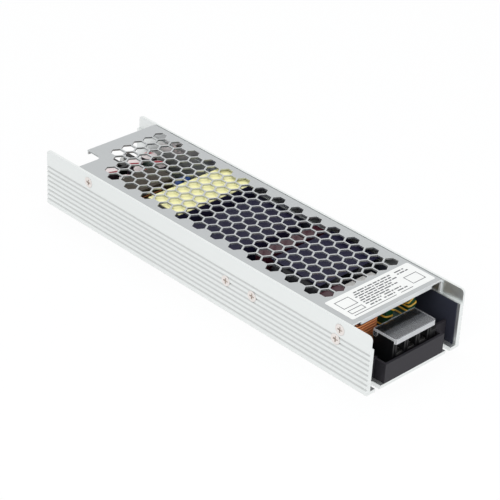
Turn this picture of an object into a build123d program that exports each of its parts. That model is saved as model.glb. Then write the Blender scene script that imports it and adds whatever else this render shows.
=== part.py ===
from build123d import *
import math
import os

# Slim enclosed power supply. Millimetres. Origin at the centre of the underside,
# +X towards the mains terminals, -Y the near long wall, +Z up.

# Aluminium channel case
case_length = 220.0
case_width = 62.0
case_height = 31.0
floor_thickness = 2.2
wall_thickness = 2.6
rim_thickness = 1.2
rim_depth = 6.8
base_edge_radius = 1.8
end_top_radius = 2.0
end_bottom_radius = 1.0
groove_count = 8
groove_first = 3.7
groove_margin = 2.4
groove_half = 0.55
slot_inset = 7.6
slot_width = 3.5
slot_length = 5.5

mains_end = case_length / 2
output_end = -mains_end
half_width = case_width / 2
inner_wall = half_width - wall_thickness
inner_rim = half_width - rim_thickness
ledge_height = case_height - rim_depth
groove_pitch = (ledge_height - groove_margin - groove_first) / (groove_count - 1)

# Perforated top cover
cover_end_gap = 12.5
cover_sheet = 0.8
cover_side_gap = 0.1
cover_drop = 0.1
cover_lift = 0.05
cover_edge_radius = 0.6
lip_height = 2.2
lip_near_relief = 6.0
lip_far_relief = 7.3
notch_length = 10.8
notch_width = 14.4
notch_radius = 3.0
hex_flats = 6.25
hex_pitch_x = 6.1
hex_pitch_y = 7.05
hex_shift = 1.78
hex_start = 25.2
hex_stop = 11.2
hex_side_margin = 8.5
hex_notch_gap = 9.0
hex_notch_room = 5.0
label_end_inset = 2.6
label_length = 17.4
label_near_inset = 3.2
label_far_inset = 1.8
label_thickness = 0.1
label_radius = 1.0

cover_half_length = mains_end - cover_end_gap
cover_half_width = inner_rim - cover_side_gap
cover_top = case_height - cover_drop
inside_top = cover_top - cover_sheet
lip_bottom = cover_top - lip_height
notch_end = notch_length - cover_half_length
notch_edge = notch_width - cover_half_width
hex_first = cover_half_length - hex_start
hex_columns = int((hex_first + cover_half_length - hex_stop) / hex_pitch_x + 0.01) + 1
hex_side_rows = int((cover_half_width - hex_side_margin) / hex_pitch_y + 0.01)
label_x = (cover_half_length - label_end_inset - label_length, cover_half_length - label_end_inset)
label_y = (label_near_inset - cover_half_width, cover_half_width - label_far_inset)

# Circuit board on its spacers
spacer_height = 2.8
spacer_flats = 5.5
spacer_inset = 4.0
spacer_from_output = (9.0, 98.0)
spacer_from_mains = 40.0
board_thickness = 1.6
board_end_gap = 1.5
board_side_gap = 0.8
board_tray_gap = 0.1
board_nose_gap = 0.3
pan_head_radius = 2.75
pan_head_height = 2.0
screw_end_gap = 0.3

board_bottom = floor_thickness + spacer_height
board_top = board_bottom + board_thickness
board_half_width = inner_wall - board_side_gap
spacer_x = [output_end + d for d in spacer_from_output] + [mains_end - spacer_from_mains]
spacer_y = inner_wall - spacer_inset

# Countersunk M3 screws in the long walls
screw_radius = 1.5
screw_head_radius = 2.7
screw_head_depth = 1.2
screw_clearance = 0.1
thread_clearance = 0.05
cross_width = 0.8
cross_length = 3.0
cross_depth = 0.9
cross_share = 0.6
cover_screw_length = 5.0
cover_screw_drop = 4.85
cover_screw_from_output = 32.0
cover_screw_from_mains = 18.15
clamp_screw_length = 8.0
nut_side = 5.5
nut_height = 2.4

cover_screw_x = (output_end + cover_screw_from_output, mains_end - cover_screw_from_mains)
cover_screw_z = case_height - cover_screw_drop

# Parts clamped to the long walls
near_transistors_from_output = (130.2, 147.5)
far_transistor_from_output = 114.0
package_half = 5.0
package_thick = 4.5
package_top = 20.2
tab_thick = 2.7
tab_length = 6.8
tab_hole_drop = 3.4
lead_pitch = 2.54
lead_width = 0.8
lead_thick = 0.6
lead_length = 1.0
lead_setback = 2.6
bridge_from_mains = (31.3, 9.3)
bridge_hole_from_mains = 20.3
bridge_thick = 3.5
bridge_hole_drop = 3.7
bridge_screw_gap = 2.15
bridge_lead_pitch = 5.08
bridge_lead_inset = 3.4
bridge_lead_width = 1.2
bridge_lead_depth = (1.5, 2.3)

near_transistor_x = [output_end + d for d in near_transistors_from_output]
far_transistor_x = output_end + far_transistor_from_output
transistor_hole_z = package_top - tab_hole_drop
bridge_x = [mains_end - d for d in bridge_from_mains]
bridge_z = (board_top + lead_length, cover_screw_z - bridge_screw_gap)
bridge_hole = (mains_end - bridge_hole_from_mains, bridge_z[1] - bridge_hole_drop)

# Insulating film
film = 0.4
liner_top_gap = 0.4
liner_start = 62.0
liner_end_gap = 1.5
liner_hole_half = 3.3
sheet_overhang = 4.5
sheet_side_overhang = 2.5
sheet_fold_bottom = 10.0
sheet_over_cans = (-9.5, 9.8)
divider_side_gap = (1.0, 0.1)
divider_drop = 0.3

film_wall = inner_wall - film
liner_x = (output_end + liner_start, mains_end - liner_end_gap)
liner_top = ledge_height - liner_top_gap

# Moulded tray under the mains terminals
tray_length = 15.6
tray_wall = 1.3
tray_floor = 1.2
tray_front_top = 12.2
tray_film_gap = 0.4
shoulder_depth = 6.3
shoulder_side_gap = 0.6
shoulder_top = 12.8
shoulder_step = 8.4
tray_rib_inset = 2.8
tray_rib_width = 2.0
tray_rib_ends = (1.0, 2.0)

tray_x = (mains_end - tray_length, mains_end)
shoulder_x = mains_end - shoulder_depth
shoulder_half = inner_wall - shoulder_side_gap
tray_front_half = shoulder_half - shoulder_step
board_nose_half = tray_front_half - tray_wall - board_nose_gap
board_nose_x = shoulder_x - tray_wall - board_tray_gap
board_x = (output_end + board_end_gap, tray_x[1] - tray_wall - board_nose_gap)
tray_rib_y = board_nose_half - tray_rib_inset

# Mains terminal block
pole_pitch = 7.62
pole_count = 3
cell_width = 4.9
cell_floor = 11.9
block_end_wall = 1.32
block_front_gap = 2.5
block_depth = 11.7
cell_back_wall = 2.4
barrier_top = 20.6
barrier_step = 3.2
barrier_step_top = 19.5
barrier_groove = 0.6
lug_gap = 0.5
lug_top = 15.4
lug_radius = 2.2
plate_thickness = 0.8
plate_width = 4.4
plate_gap = (0.4, 0.6)
terminal_screw_inset = 5.8
terminal_head_radius = 2.15
terminal_head_height = 2.0
terminal_shank_radius = 1.5
terminal_bore_depth = 4.5
terminal_shank_length = 4.4

block_x = (mains_end - block_front_gap - block_depth, mains_end - block_front_gap)
block_half = pole_count * pole_pitch / 2 + block_end_wall
lug_end = board_nose_half - lug_gap
cell_back = block_x[0] + cell_back_wall
plate_x = (cell_back + plate_gap[0], block_x[1] - plate_gap[1])
terminal_screw_x = block_x[0] + terminal_screw_inset
poles = [(k - (pole_count - 1) / 2) * pole_pitch for k in range(pole_count)]

# Hinged cover of the mains terminals
hinge_inset = 1.3
hinge_rise = -0.2
ear_thickness = 1.25
ear_radius = 1.3
pin_radius = 0.8
pin_clearance = 0.05
pin_end_gap = 0.15
cheek_radius = 1.2
cheek_gap = 0.05
flap_back = 1.0
flap_front = 1.9
flap_side = 0.55
flap_bottom = 20.8
flap_thickness = 1.2
flap_lip = 1.1
flap_lip_drop = 1.2
flap_corner = 1.5

hinge_x = block_x[0] + hinge_inset
hinge_z = barrier_step_top + hinge_rise
flap_x = (hinge_x - flap_back, block_x[1] + flap_front)
flap_half = block_half + flap_side

# Output terminal block
out_poles = 4
out_barrier = 2.0
out_side_room = 8.4
out_centre = 1.4
out_depth = 10.5
out_floor = 9.5
out_top = 12.5
out_back = 1.5
out_skin = 0.3
out_plate = 0.8
out_plate_gap = 0.3
out_plate_front = 0.6
out_head_gap = 0.75
out_head_height = 2.2
out_shank_radius = 1.75
out_shank_length = 2.4
out_screw_inset = 4.5

out_x = (output_end + board_end_gap, output_end + board_end_gap + out_depth)
out_half = inner_wall - out_side_room
out_pitch = (2 * out_half - out_barrier) / out_poles
out_cell_half = (out_pitch - out_barrier) / 2
out_screw_x = out_x[0] + out_screw_inset
out_cells = [out_centre + (k - (out_poles - 1) / 2) * out_pitch for k in range(out_poles)]

# Output adjustment and lamp
trimmer_inset = 17.8
trimmer_near_gap = 7.9
lamp_near_gap = 2.5
trimmer_side = 6.6
trimmer_height = 4.5
rotor_radius = 2.0
rotor_seat = 1.4
rotor_rise = 0.4
rotor_slot = (3.0, 0.6, 0.8)
lamp_radius = 1.5
lamp_height = 5.0
lamp_tip = (0.9, 0.8)
lamp_flange = (1.6, 1.0)

trimmer_centre = (output_end + trimmer_inset, trimmer_near_gap - inner_wall)
trimmer_top = board_top + trimmer_height
rotor_bottom = trimmer_top - rotor_seat
rotor_top = trimmer_top + rotor_rise
lamp_centre = (trimmer_centre[0], lamp_near_gap - inner_wall)

# Output filter: distances from the output end and from the far wall
can_radius = 4.0
can_height = 11.4
can_places = ((18.5, 17.4), (28.0, 9.9), (26.5, 20.0), (18.0, 33.2), (29.3, 32.1), (18.0, 7.4))
daughter_x = (22.8, 32.8)
daughter_y = (15.7, 14.2)
daughter_headroom = 10.1
out_choke_x = (38.0, 53.0)
out_choke_near = 9.4
out_choke_disc_gap = 2.0
out_choke_headroom = 5.1
out_choke_yoke = (4.0, 3.5)
out_choke_leg = 5.0
out_coil_inset = 1.0
disc_x = 49.5
disc_wall_gaps = (17.4, 11.4)
disc_z = 15.5
disc_radius = 4.5
disc_thick = 4.0
disc_lead = 0.7
disc_lead_spread = 2.5

# Control board, standing across the case, and its chips
control_x = 56.2
control_thick = 1.6
control_side_gap = 10.0
control_headroom = 8.1
chip_thick = 1.5
chip_half_height = 2.5
chips_facing_output = ((-11.0, 3.0, 14.0), (0.0, 4.5, 15.0), (11.5, 2.5, 13.0))
chip_facing_mains = (-1.0, 5.0, 14.5)

# Transformer and its tape
transformer_place = (65.9, 87.0)
transformer_side_gap = (2.0, 0.5)
transformer_headroom = 0.9
transformer_yoke = 6.0
transformer_leg = 3.0
transformer_bar = 3.5
tape = 0.5
tape_inset = 4.5

transformer_x = (output_end + transformer_place[0], output_end + transformer_place[1])
transformer_y = (transformer_side_gap[0] - film_wall, film_wall - transformer_side_gap[1])
tape_top = inside_top - transformer_headroom
transformer_top = tape_top - tape

# Boost choke
choke_from_output = 110.0
choke_half_x = 10.5
choke_side_gap = 8.0
choke_headroom = 3.7
choke_yoke = 3.9
choke_leg = 7.0
choke_outer_leg = 6.5
choke_coil_half_x = 14.0

choke_x = output_end + choke_from_output
choke_half_y = film_wall - choke_side_gap
choke_window = choke_half_y - choke_outer_leg
choke_top = inside_top - choke_headroom

# Film and bulk capacitors
film_cap_place = (131.5, 138.0)
film_cap_width = 12.5
film_cap_gap = 0.75
film_cap_count = 3
film_cap_wall_gap = 2.5
film_cap_headroom = 3.6
bulk_place = (141.0, 48.0)
bulk_headroom = 3.5
bulk_wall_gap = 0.8
bulk_gap = 0.7

bulk_radius = (inside_top - bulk_headroom - board_top) / 2
bulk_x = (output_end + bulk_place[0], mains_end - bulk_place[1])
bulk_far_y = film_wall - bulk_wall_gap - bulk_radius
bulk_y = (bulk_far_y - 2 * bulk_radius - bulk_gap, bulk_far_y)

# Mains filter: distances from the mains end
x_cap_place = (46.4, 40.6)
x_cap_side_gap = 9.0
x_cap_headroom = 5.5
relay_place = (46.4, 39.0)
relay_headroom = 7.6
mid_gap = 2.0
far_side_gap = 8.0
fuse_place = 33.0
fuse_radius = 2.6
fuse_cap_radius = 2.8
fuse_cap_length = 4.0
fuse_overhang = 1.0
thermistor_place = 36.0
thermistor_near = 15.5
thermistor_z = 14.6
thermistor_radius = 6.0
thermistor_thick = 4.4

# Wound toroid on its base, and the line choke beside it
ring_place = 22.5
ring_line_gap = 3.3
ring_headroom = 1.0
ring_base_half = (4.5, 6.0)
ring_base_height = 1.0
ring_section = 4.6
ring_half = 3.6
ring_wire = 0.9
ring_bite = 0.03
ring_turns = 5
ring_first_angle = 30.0
ring_step_angle = 25.0
line_place = 25.5
line_nut_gap = 1.6
line_half = (7.6, 8.0)
line_corner = 3.5
line_leg_half = (3.2, 3.6)
line_flange = 1.4
line_headroom = 5.1

ring_x = mains_end - ring_place
ring_outer = (inside_top - ring_headroom - board_top - ring_base_height - ring_wire) / 2
ring_inner = ring_outer - ring_section
ring_z = board_top + ring_base_height + ring_outer
line_y = line_half[1] + line_nut_gap + nut_height + bridge_thick - film_wall
line_centre = (mains_end - line_place, line_y)
ring_y = line_y + line_half[1] + ring_line_gap + ring_wire + ring_outer
line_top = inside_top - line_headroom


def block(x, y, z):
    size = (x[1] - x[0], y[1] - y[0], z[1] - z[0])
    centre = ((x[0] + x[1]) / 2, (y[0] + y[1]) / 2, (z[0] + z[1]) / 2)
    return Pos(*centre) * Box(*size)


def post(x, y, z, radius):
    return Pos(x, y, (z[0] + z[1]) / 2) * Cylinder(radius, z[1] - z[0])


def rod_y(x, y, z, radius):
    return Pos(x, (y[0] + y[1]) / 2, z) * Rot(90, 0, 0) * Cylinder(radius, y[1] - y[0])


def rod_x(x, y, z, radius):
    return Pos((x[0] + x[1]) / 2, y, z) * Rot(0, 90, 0) * Cylinder(radius, x[1] - x[0])


# A span of given half width about a middle
def about(middle, half):
    return (middle - half, middle + half)


# A span of y on the near (-1) or far (+1) side, given as distances from the centre line
def on_side(side, a, b):
    return sorted((side * a, side * b))


def save(shape, name):
    export_step(shape, "parts/" + name + ".step")


def group(shapes, name):
    save(Compound(children=list(shapes)), name)


# Two crossed bars that cut a screw's drive, from the top of its head down
def cross_bars(x, y, top, reach):
    z = (top - cross_depth, top + 0.1)
    bar = block(about(x, reach), about(y, cross_width / 2), z)
    return bar + block(about(x, cross_width / 2), about(y, reach), z)


# One countersunk screw along -Z with its head at z = 0
def countersunk(length):
    head = Pos(0, 0, -screw_head_depth / 2) * Cone(screw_radius, screw_head_radius, screw_head_depth)
    shank = post(0, 0, (-length, -screw_head_depth), screw_radius)
    return head + shank - cross_bars(0, 0, 0, cross_length / 2)


# The hole that takes it
def countersink(length):
    cone = Pos(0, 0, -screw_head_depth / 2) * Cone(
        screw_radius + screw_clearance, screw_head_radius + screw_clearance, screw_head_depth)
    top = post(0, 0, (0, 1.0), screw_head_radius + screw_clearance)
    return cone + top + post(0, 0, (-length, -screw_head_depth), screw_radius + screw_clearance)


# Places a screw or hole in the near (-1) or far (+1) long wall
def in_wall(shape, side, x, z):
    return Pos(x, side * half_width, z) * Rot(-90 * side, 0, 0) * shape


def transistor_places():
    near = [(-1, x, transistor_hole_z) for x in near_transistor_x]
    return near + [(1, far_transistor_x, transistor_hole_z)]


def clamp_places():
    return transistor_places() + [(-1, bridge_hole[0], bridge_hole[1])]


def cover_screw_places():
    return [(side, x, cover_screw_z) for side in (-1, 1) for x in cover_screw_x]


def channel_profile():
    outline = Pos(0, case_height / 2) * Rectangle(case_width, case_height)
    low = outline.vertices().sort_by(Axis.Y)[:2]
    outline = fillet(low, base_edge_radius)
    well_height = ledge_height - floor_thickness
    outline -= Pos(0, floor_thickness + well_height / 2) * Rectangle(2 * inner_wall, well_height)
    mouth_height = rim_depth + 1.0
    outline -= Pos(0, ledge_height + mouth_height / 2) * Rectangle(2 * inner_rim, mouth_height)
    for i in range(groove_count):
        for side in (-1, 1):
            spot = (side * half_width, groove_first + i * groove_pitch)
            outline -= Pos(*spot) * RegularPolygon(groove_half, 4)
    return outline


def rounded_ends():
    side_view = Pos(0, case_height / 2) * Rectangle(case_length, case_height)
    corners = side_view.vertices().sort_by(Axis.Y)
    side_view = fillet(corners[:2], end_bottom_radius)
    corners = side_view.vertices().sort_by(Axis.Y)
    side_view = fillet(corners[-2:], end_top_radius)
    return extrude(Plane.XZ * side_view, half_width + 1, both=True)


# A mounting slot open at the end of the floor
def end_slot(end, side):
    x = end * (mains_end - slot_length + slot_width / 2)
    y = side * (half_width - slot_inset)
    z = (-1, floor_thickness + 0.1)
    span = sorted((x, end * (mains_end + 1)))
    return post(x, y, z, slot_width / 2) + block(span, about(y, slot_width / 2), z)


def channel_case():
    bar = extrude(Plane.YZ * channel_profile(), mains_end, both=True) & rounded_ends()
    for side in (-1, 1):
        for end in (-1, 1):
            bar -= end_slot(end, side)
    for side, x, z in cover_screw_places() + clamp_places():
        bar -= in_wall(countersink(wall_thickness + 1), side, x, z)
    return bar


# The lattice: columns shifted by turns, and holes left out beside the notch
def hex_places():
    places = []
    for i in range(hex_columns):
        x = hex_first - i * hex_pitch_x
        shift = hex_shift if i % 2 == 0 else -hex_shift
        for k in range(-hex_side_rows, hex_side_rows + 1):
            y = shift + k * hex_pitch_y
            if x > notch_end + hex_notch_gap or y > notch_edge + hex_notch_room:
                places.append((x, y))
    return places


def cover_notch():
    cut = block((-cover_half_length - 1, notch_end), (-cover_half_width - 1, notch_edge),
                (ledge_height - 1, case_height + 1))
    corner = cut.edges().filter_by(Axis.Z).sort_by(lambda e: e.center().X + e.center().Y)[-1]
    return fillet(corner, notch_radius)


def top_cover():
    x = (-cover_half_length, cover_half_length)
    y = (-cover_half_width, cover_half_width)
    shell = block(x, y, (ledge_height + cover_lift, cover_top))
    ridges = [e for e in shell.edges().filter_by(Axis.X) if e.center().Z > cover_top - 0.1]
    shell = fillet(ridges, cover_edge_radius)
    shell -= block((x[0] - 1, x[1] + 1), about(0, cover_half_width - cover_sheet), (0, inside_top))
    lip_y = (lip_near_relief - cover_half_width, cover_half_width - lip_far_relief)
    shell += block((x[1] - cover_sheet, x[1]), lip_y, (lip_bottom, cover_top))
    shell += block((x[0], x[0] + cover_sheet), (notch_edge, lip_y[1]), (lip_bottom, cover_top))
    shell -= cover_notch()
    radius = hex_flats / math.sqrt(3)
    holes = Sketch() + [Pos(px, py) * RegularPolygon(radius, 6) for px, py in hex_places()]
    shell -= extrude(Pos(0, 0, inside_top - 1) * holes, cover_sheet + 2)
    for side, px, pz in cover_screw_places():
        hole = post(0, 0, (-cover_screw_length, 0), screw_radius + thread_clearance)
        shell -= in_wall(hole, side, px, pz)
    return shell


def rating_label():
    x = (label_x[0] + label_x[1]) / 2
    y = (label_y[0] + label_y[1]) / 2
    shape = RectangleRounded(label_x[1] - label_x[0], label_y[1] - label_y[0], label_radius)
    return extrude(Pos(x, y, cover_top) * shape, label_thickness)


# A square nut pressed on the inner face of a clamped part
def square_nut(side, x, z, face):
    y = on_side(side, face, face - nut_height)
    nut = block(about(x, nut_side / 2), y, about(z, nut_side / 2))
    return nut - rod_y(x, (y[0] - 1, y[1] + 1), z, screw_radius + thread_clearance)


def clamp_nuts():
    nuts = [square_nut(side, x, z, film_wall - tab_thick) for side, x, z in transistor_places()]
    nuts.append(square_nut(-1, bridge_hole[0], bridge_hole[1], film_wall - bridge_thick))
    return nuts


# Film folded up both walls from the floor, with the floor cut away at the tray
def insulating_liner():
    outer = block(liner_x, about(0, inner_wall), (floor_thickness, liner_top))
    inside = about(0, film_wall)
    floor_top = floor_thickness + film
    liner = outer - block((liner_x[0] - 1, liner_x[1] + 1), inside, (floor_top, liner_top + 1))
    liner -= block((tray_x[0] - tray_film_gap, liner_x[1] + 1), inside, (0, floor_top + 1))
    for side, x, z in clamp_places():
        liner -= rod_y(x, on_side(side, film_wall - 1, inner_wall + 1), z, screw_radius + screw_clearance)
    for x, y in spacer_places():
        liner -= block(about(x, liner_hole_half), about(y, liner_hole_half), (0, floor_top + 1))
    return liner


# Film over the boost choke and down its mains side, beside the transformer and over the cans
def upper_sheets():
    y = about(0, choke_half_y + sheet_side_overhang)
    edge = choke_x + choke_half_x + sheet_overhang
    start = choke_x - choke_half_x - sheet_overhang
    over_choke = block((start, edge + film), y, (choke_top, choke_top + film))
    over_choke += block((edge, edge + film), y, (sheet_fold_bottom, choke_top + film))
    face = transformer_x[1] + tape
    divider_y = (divider_side_gap[0] - film_wall, film_wall - divider_side_gap[1])
    divider = block((face, face + film), divider_y, (board_top, tape_top - divider_drop))
    cans_top = board_top + 2 * bulk_radius
    cans_y = (bulk_y[0] + sheet_over_cans[0], bulk_y[1] + sheet_over_cans[1])
    return [over_choke, divider, block(bulk_x, cans_y, (cans_top, cans_top + film))]


def terminal_tray():
    z0 = floor_thickness
    wide = about(0, shoulder_half)
    back = shoulder_x - tray_wall
    tray = block((tray_x[0], shoulder_x), wide, (z0, z0 + tray_floor))
    tray += block((back, shoulder_x), wide, (z0, shoulder_top))
    tray += block((back, tray_x[1]), about(0, tray_front_half), (z0, tray_front_top))
    tray -= block((back - 1, tray_x[1] - tray_wall), about(0, tray_front_half - tray_wall),
                  (z0 + tray_floor, shoulder_top + 1))
    rib_x = (tray_x[0] + tray_rib_ends[0], tray_x[1] - tray_rib_ends[1])
    for side in (-1, 1):
        tray += block(rib_x, about(side * tray_rib_y, tray_rib_width / 2), (z0, board_bottom))
    return tray


def spacer_places():
    return [(x, side * spacer_y) for x in spacer_x for side in (-1, 1)]


def main_board():
    z = (board_bottom, board_top)
    plate = block((board_x[0], board_nose_x), about(0, board_half_width), z)
    plate += block((board_nose_x - 5, board_x[1]), about(0, board_nose_half), z)
    for x, y in spacer_places():
        plate -= post(x, y, (board_bottom - 1, board_top + 1), screw_radius + screw_clearance)
    return plate


def spacer(x, y):
    shape = Pos(x, y, floor_thickness) * RegularPolygon(spacer_flats / math.sqrt(3), 6)
    return extrude(shape, spacer_height) - post(x, y, (0, board_top), screw_radius + thread_clearance)


def board_screw(x, y):
    top = board_top + pan_head_height
    head = post(x, y, (board_top, top), pan_head_radius)
    shank = post(x, y, (floor_thickness + screw_end_gap, board_top), screw_radius)
    return head + shank - cross_bars(x, y, top, cross_length / 2)


# The hinge ear at one end of the block, round about the hinge
def hinge_ear(side):
    return rod_y(hinge_x, on_side(side, block_half - ear_thickness, block_half), hinge_z, ear_radius)


# Three cells open to the front and the top, a lug on the far side and the hinge ears
def ac_terminal_body():
    x0, x1 = block_x
    open_top = barrier_top + 1
    body = block(block_x, about(0, block_half), (board_top, barrier_top))
    body -= block((x0 - 1, x0 + barrier_step), about(0, block_half + 1), (barrier_step_top, open_top))
    for y in poles:
        body -= block((cell_back, x1 + 1), about(y, cell_width / 2), (cell_floor, open_top))
        body -= post(terminal_screw_x, y, (cell_floor - terminal_bore_depth, barrier_top),
                     terminal_shank_radius + thread_clearance)
    for k in range(pole_count + 1):
        y = poles[0] + (k - 0.5) * pole_pitch
        body -= block((x1 - barrier_groove, x1 + 1), about(y, barrier_groove / 2), (cell_floor, open_top))
    body += hinge_ear(-1) + hinge_ear(1)
    for side in (-1, 1):
        y = on_side(side, block_half - ear_thickness - 0.01, block_half + 0.01)
        body -= rod_y(hinge_x, y, hinge_z, pin_radius + pin_clearance)
    lug = block(block_x, (block_half - 1, lug_end), (board_top, lug_top))
    corner = lug.edges().filter_by(Axis.Z).sort_by(lambda e: e.center().X + e.center().Y)[-1]
    return body + fillet(corner, lug_radius)


def ac_clamp_plate(y):
    plate = block(plate_x, about(y, plate_width / 2), (cell_floor, cell_floor + plate_thickness))
    return plate - post(terminal_screw_x, y, (0, barrier_top), terminal_shank_radius + thread_clearance)


# A cross-headed terminal screw, its head on the clamp plate
def terminal_screw(x, y, seat, head, shank):
    top = seat + head[1]
    screw = post(x, y, (seat, top), head[0]) + post(x, y, (seat - shank[1], seat), shank[0])
    return screw - cross_bars(x, y, top, head[0] * cross_share)


def ac_screw(y):
    head = (terminal_head_radius, terminal_head_height)
    shank = (terminal_shank_radius, plate_thickness + terminal_shank_length)
    return terminal_screw(terminal_screw_x, y, cell_floor + plate_thickness, head, shank)


# A plate with its two front corners rounded
def flap_plate(z):
    plate = block(flap_x, about(0, flap_half), z)
    corners = plate.edges().filter_by(Axis.Z).sort_by(Axis.X)[-2:]
    return fillet(corners, flap_corner)


# A cheek outside the block's end, with the pin that it holds in the ear
def hinge_cheek(side):
    y = on_side(side, block_half + cheek_gap, flap_half)
    cheek = rod_y(hinge_x, y, hinge_z, cheek_radius)
    cheek += block(about(hinge_x, cheek_radius), y, (hinge_z, flap_bottom))
    pin_y = on_side(side, block_half - ear_thickness + pin_end_gap, flap_half)
    return cheek + rod_y(hinge_x, pin_y, hinge_z, pin_radius)


# Clear hinged cover of the mains terminals, shut
def ac_terminal_cover():
    top = flap_bottom + flap_thickness
    lip = flap_plate((flap_bottom - flap_lip_drop, flap_bottom))
    lip &= block((flap_x[1] - flap_lip, flap_x[1]), about(0, flap_half), (0, flap_bottom))
    cover = flap_plate((flap_bottom, top)) + lip
    for side in (-1, 1):
        cover += hinge_cheek(side)
    return cover


def dc_terminal_body():
    body = block(out_x, about(out_centre, out_half), (board_top, out_top))
    cell_x = (out_x[0] - 1, out_x[1] - out_back)
    for y in out_cells:
        body -= block(cell_x, about(y, out_cell_half), (out_floor, out_top + 1))
        body -= post(out_screw_x, y, (board_top + out_skin, out_top), out_shank_radius + thread_clearance)
    return body


def dc_clamp_plate(y):
    x = (out_x[0] + out_plate_front, out_x[1] - out_back - out_plate_gap)
    plate = block(x, about(y, out_cell_half - out_plate_gap), (out_floor, out_floor + out_plate))
    return plate - post(out_screw_x, y, (0, out_top), out_shank_radius + thread_clearance)


def dc_screw(y):
    head = (out_cell_half - out_head_gap, out_head_height)
    shank = (out_shank_radius, out_plate + out_shank_length)
    return terminal_screw(out_screw_x, y, out_floor + out_plate, head, shank)


def trimmer_body():
    x, y = trimmer_centre
    body = block(about(x, trimmer_side / 2), about(y, trimmer_side / 2), (board_top, trimmer_top))
    return body - post(x, y, (rotor_bottom, rotor_top), rotor_radius + pin_clearance)


def trimmer_rotor():
    x, y = trimmer_centre
    rotor = post(x, y, (rotor_bottom, rotor_top), rotor_radius)
    slot_z = (rotor_top - rotor_slot[2], rotor_top + 1)
    return rotor - block(about(x, rotor_slot[0] / 2), about(y, rotor_slot[1] / 2), slot_z)


def indicator_lamp():
    x, y = lamp_centre
    top = board_top + lamp_height
    shoulder = top - lamp_tip[1]
    body = post(x, y, (board_top, shoulder), lamp_radius)
    tip = Pos(x, y, (shoulder + top) / 2) * Cone(lamp_radius, lamp_tip[0], lamp_tip[1])
    return body + tip + post(x, y, (board_top, board_top + lamp_flange[1]), lamp_flange[0])


def output_cans():
    z = (board_top, board_top + can_height)
    return [post(output_end + dx, inner_wall - dy, z, can_radius) for dx, dy in can_places]


def daughter_board():
    x = (output_end + daughter_x[0], output_end + daughter_x[1])
    y = (inner_wall - daughter_y[0], inner_wall - daughter_y[1])
    return block(x, y, (board_top, inside_top - daughter_headroom))


def output_choke():
    x0, x1 = output_end + out_choke_x[0], output_end + out_choke_x[1]
    y0 = out_choke_near - inner_wall
    y1 = inner_wall - disc_wall_gaps[0] - disc_thick / 2 - out_choke_disc_gap
    top = inside_top - out_choke_headroom
    window_z = (board_top + out_choke_yoke[0], top - out_choke_yoke[1])
    window_y = (y0 + out_choke_leg, y1 - out_choke_leg)
    core = block((x0, x1), (y0, y1), (board_top, top)) - block((x0 - 1, x1 + 1), window_y, window_z)
    coil = block((x0 + out_coil_inset, x1 - out_coil_inset), window_y, window_z)
    return core, coil


# A round flat part on two leads, its face along the given axis
def disc_part(x, y, z, radius, thick, axis):
    if axis == "Y":
        disc = rod_y(x, about(y, thick / 2), z, radius)
        feet = [(x - disc_lead_spread, y), (x + disc_lead_spread, y)]
    else:
        disc = rod_x(about(x, thick / 2), y, z, radius)
        feet = [(x, y - disc_lead_spread), (x, y + disc_lead_spread)]
    for fx, fy in feet:
        disc += block(about(fx, disc_lead / 2), about(fy, disc_lead / 2), (board_top, z))
    return disc


def disc_capacitors():
    return [disc_part(output_end + disc_x, inner_wall - gap, disc_z, disc_radius, disc_thick, "Y")
            for gap in disc_wall_gaps]


def control_board():
    x = (output_end + control_x, output_end + control_x + control_thick)
    return block(x, about(0, film_wall - control_side_gap), (board_top, inside_top - control_headroom))


def control_chips():
    face = output_end + control_x
    chips = [block((face - chip_thick, face), about(y, half), about(z, chip_half_height))
             for y, half, z in chips_facing_output]
    back = face + control_thick
    y, half, z = chip_facing_mains
    chips.append(block((back, back + chip_thick), about(y, half), about(z, chip_half_height)))
    return chips


# The winding's window runs between the two yokes
def transformer_window():
    return (transformer_y[0] + transformer_yoke, transformer_y[1] - transformer_yoke)


def transformer_core():
    x0, x1 = transformer_x
    z0 = board_top + tape
    window = transformer_window()
    core = block(transformer_x, transformer_y, (z0, transformer_top))
    leg = transformer_leg
    for x in ((x0 + leg, x0 + 2 * leg), (x1 - 2 * leg, x1 - leg)):
        core -= block(x, window, (z0 - 1, transformer_top + 1))
    middle = (x0 + leg, x1 - leg)
    core -= block(middle, window, (transformer_top - transformer_bar, transformer_top + 1))
    return core - block(middle, window, (z0 - 1, z0 + transformer_bar))


def transformer_coil():
    x0, x1 = transformer_x
    z0 = board_top + tape
    coil = block((x0 + transformer_leg, x1 - transformer_leg), transformer_window(), (z0, transformer_top))
    return coil - block((x0 + 2 * transformer_leg, x1 - 2 * transformer_leg), transformer_y,
                        (z0 + transformer_bar, transformer_top - transformer_bar))


def transformer_tape():
    x = (transformer_x[0] - tape, transformer_x[1] + tape)
    y = (transformer_y[0] + tape_inset, transformer_y[1])
    sleeve = block(x, y, (board_top, tape_top))
    return sleeve - block(transformer_x, (y[0] - 1, y[1] + 1), (board_top + tape, transformer_top))


def boost_choke_core():
    core = block(about(choke_x, choke_half_x), about(0, choke_half_y), (board_top, choke_top))
    for side in (-1, 1):
        core -= block(about(choke_x, choke_half_x + 1), on_side(side, choke_leg, choke_window),
                      (board_top + choke_yoke, choke_top - choke_yoke))
    return core


def boost_choke_coil():
    z = (board_top + choke_yoke, choke_top - choke_yoke)
    coil = block(about(choke_x, choke_coil_half_x), about(0, choke_window), z)
    return coil - block(about(choke_x, choke_half_x), about(0, choke_leg), (z[0] - 1, z[1] + 1))


def film_capacitors():
    x = (output_end + film_cap_place[0], output_end + film_cap_place[1])
    z = (board_top, inside_top - film_cap_headroom)
    last = film_wall - film_cap_wall_gap
    ends = [last - k * (film_cap_width + film_cap_gap) for k in range(film_cap_count)]
    return [block(x, (end - film_cap_width, end), z) for end in ends]


def bulk_capacitors():
    return [rod_x(bulk_x, y, board_top + bulk_radius, bulk_radius) for y in bulk_y]


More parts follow.
